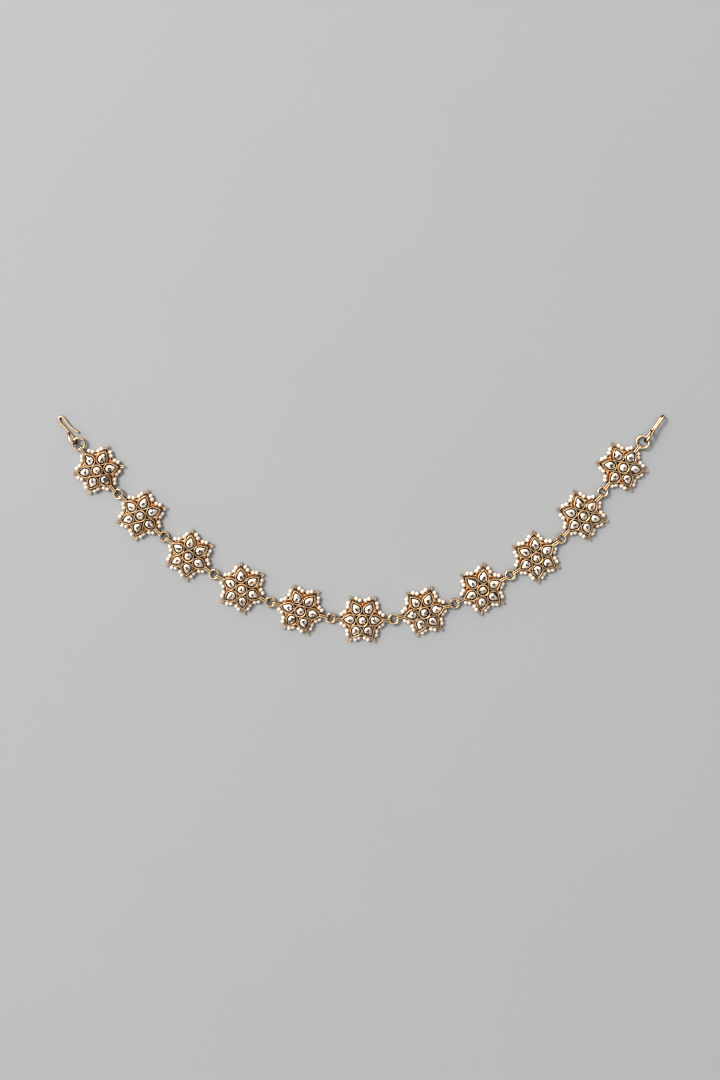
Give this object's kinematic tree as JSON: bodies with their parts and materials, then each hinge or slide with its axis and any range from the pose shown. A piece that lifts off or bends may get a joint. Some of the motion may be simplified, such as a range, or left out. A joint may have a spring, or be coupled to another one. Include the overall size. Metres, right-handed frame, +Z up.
{
  "type": "matha patti",
  "caption": "Hairline chain of six-petal star flowers with pear-shaped stones and seed pearl borders, joined by jump rings, with an end ring and an open wire hook at each end.",
  "frame": {"origin": "under the middle of the whole piece, on the surface that it lies on", "axes": "+X along the row from hook to hook, +Y towards the open side of its hanging curve, +Z up, out of the surface"},
  "size_m": [0.3018, 0.113, 0.0056],
  "materials": {
    "gold": "warm antique gold plate, bright on rims and wire, oxidised dark brown in the recesses",
    "stone": "foil-backed flat crystals in the manner of uncut diamonds, white with grey facets",
    "pearl": "cream-pink seed pearls with a soft lustre"
  },
  "bodies": {
    "root": {"centre_stone_01": "stone", "centre_stone_02": "stone", "centre_stone_03": "stone", "centre_stone_04": "stone", "centre_stone_05": "stone", "centre_stone_06": "stone", "centre_stone_07": "stone", "centre_stone_08": "stone", "centre_stone_09": "stone", "centre_stone_10": "stone", "centre_stone_11": "stone", "end_ring_left": "gold", "end_ring_right": "gold", "flower_setting_01": "gold", "flower_setting_02": "gold", "flower_setting_03": "gold", "flower_setting_04": "gold", "flower_setting_05": "gold", "flower_setting_06": "gold", "flower_setting_07": "gold", "flower_setting_08": "gold", "flower_setting_09": "gold", "flower_setting_10": "gold", "flower_setting_11": "gold", "hook_left": "gold", "hook_right": "gold", "jump_ring_01": "gold", "jump_ring_02": "gold", "jump_ring_03": "gold", "jump_ring_04": "gold", "jump_ring_05": "gold", "jump_ring_06": "gold", "jump_ring_07": "gold", "jump_ring_08": "gold", "jump_ring_09": "gold", "jump_ring_10": "gold", "pearl_border_01": "pearl", "pearl_border_02": "pearl", "pearl_border_03": "pearl", "pearl_border_04": "pearl", "pearl_border_05": "pearl", "pearl_border_06": "pearl", "pearl_border_07": "pearl", "pearl_border_08": "pearl", "pearl_border_09": "pearl", "pearl_border_10": "pearl", "pearl_border_11": "pearl"}
  },
  "joints": []
}
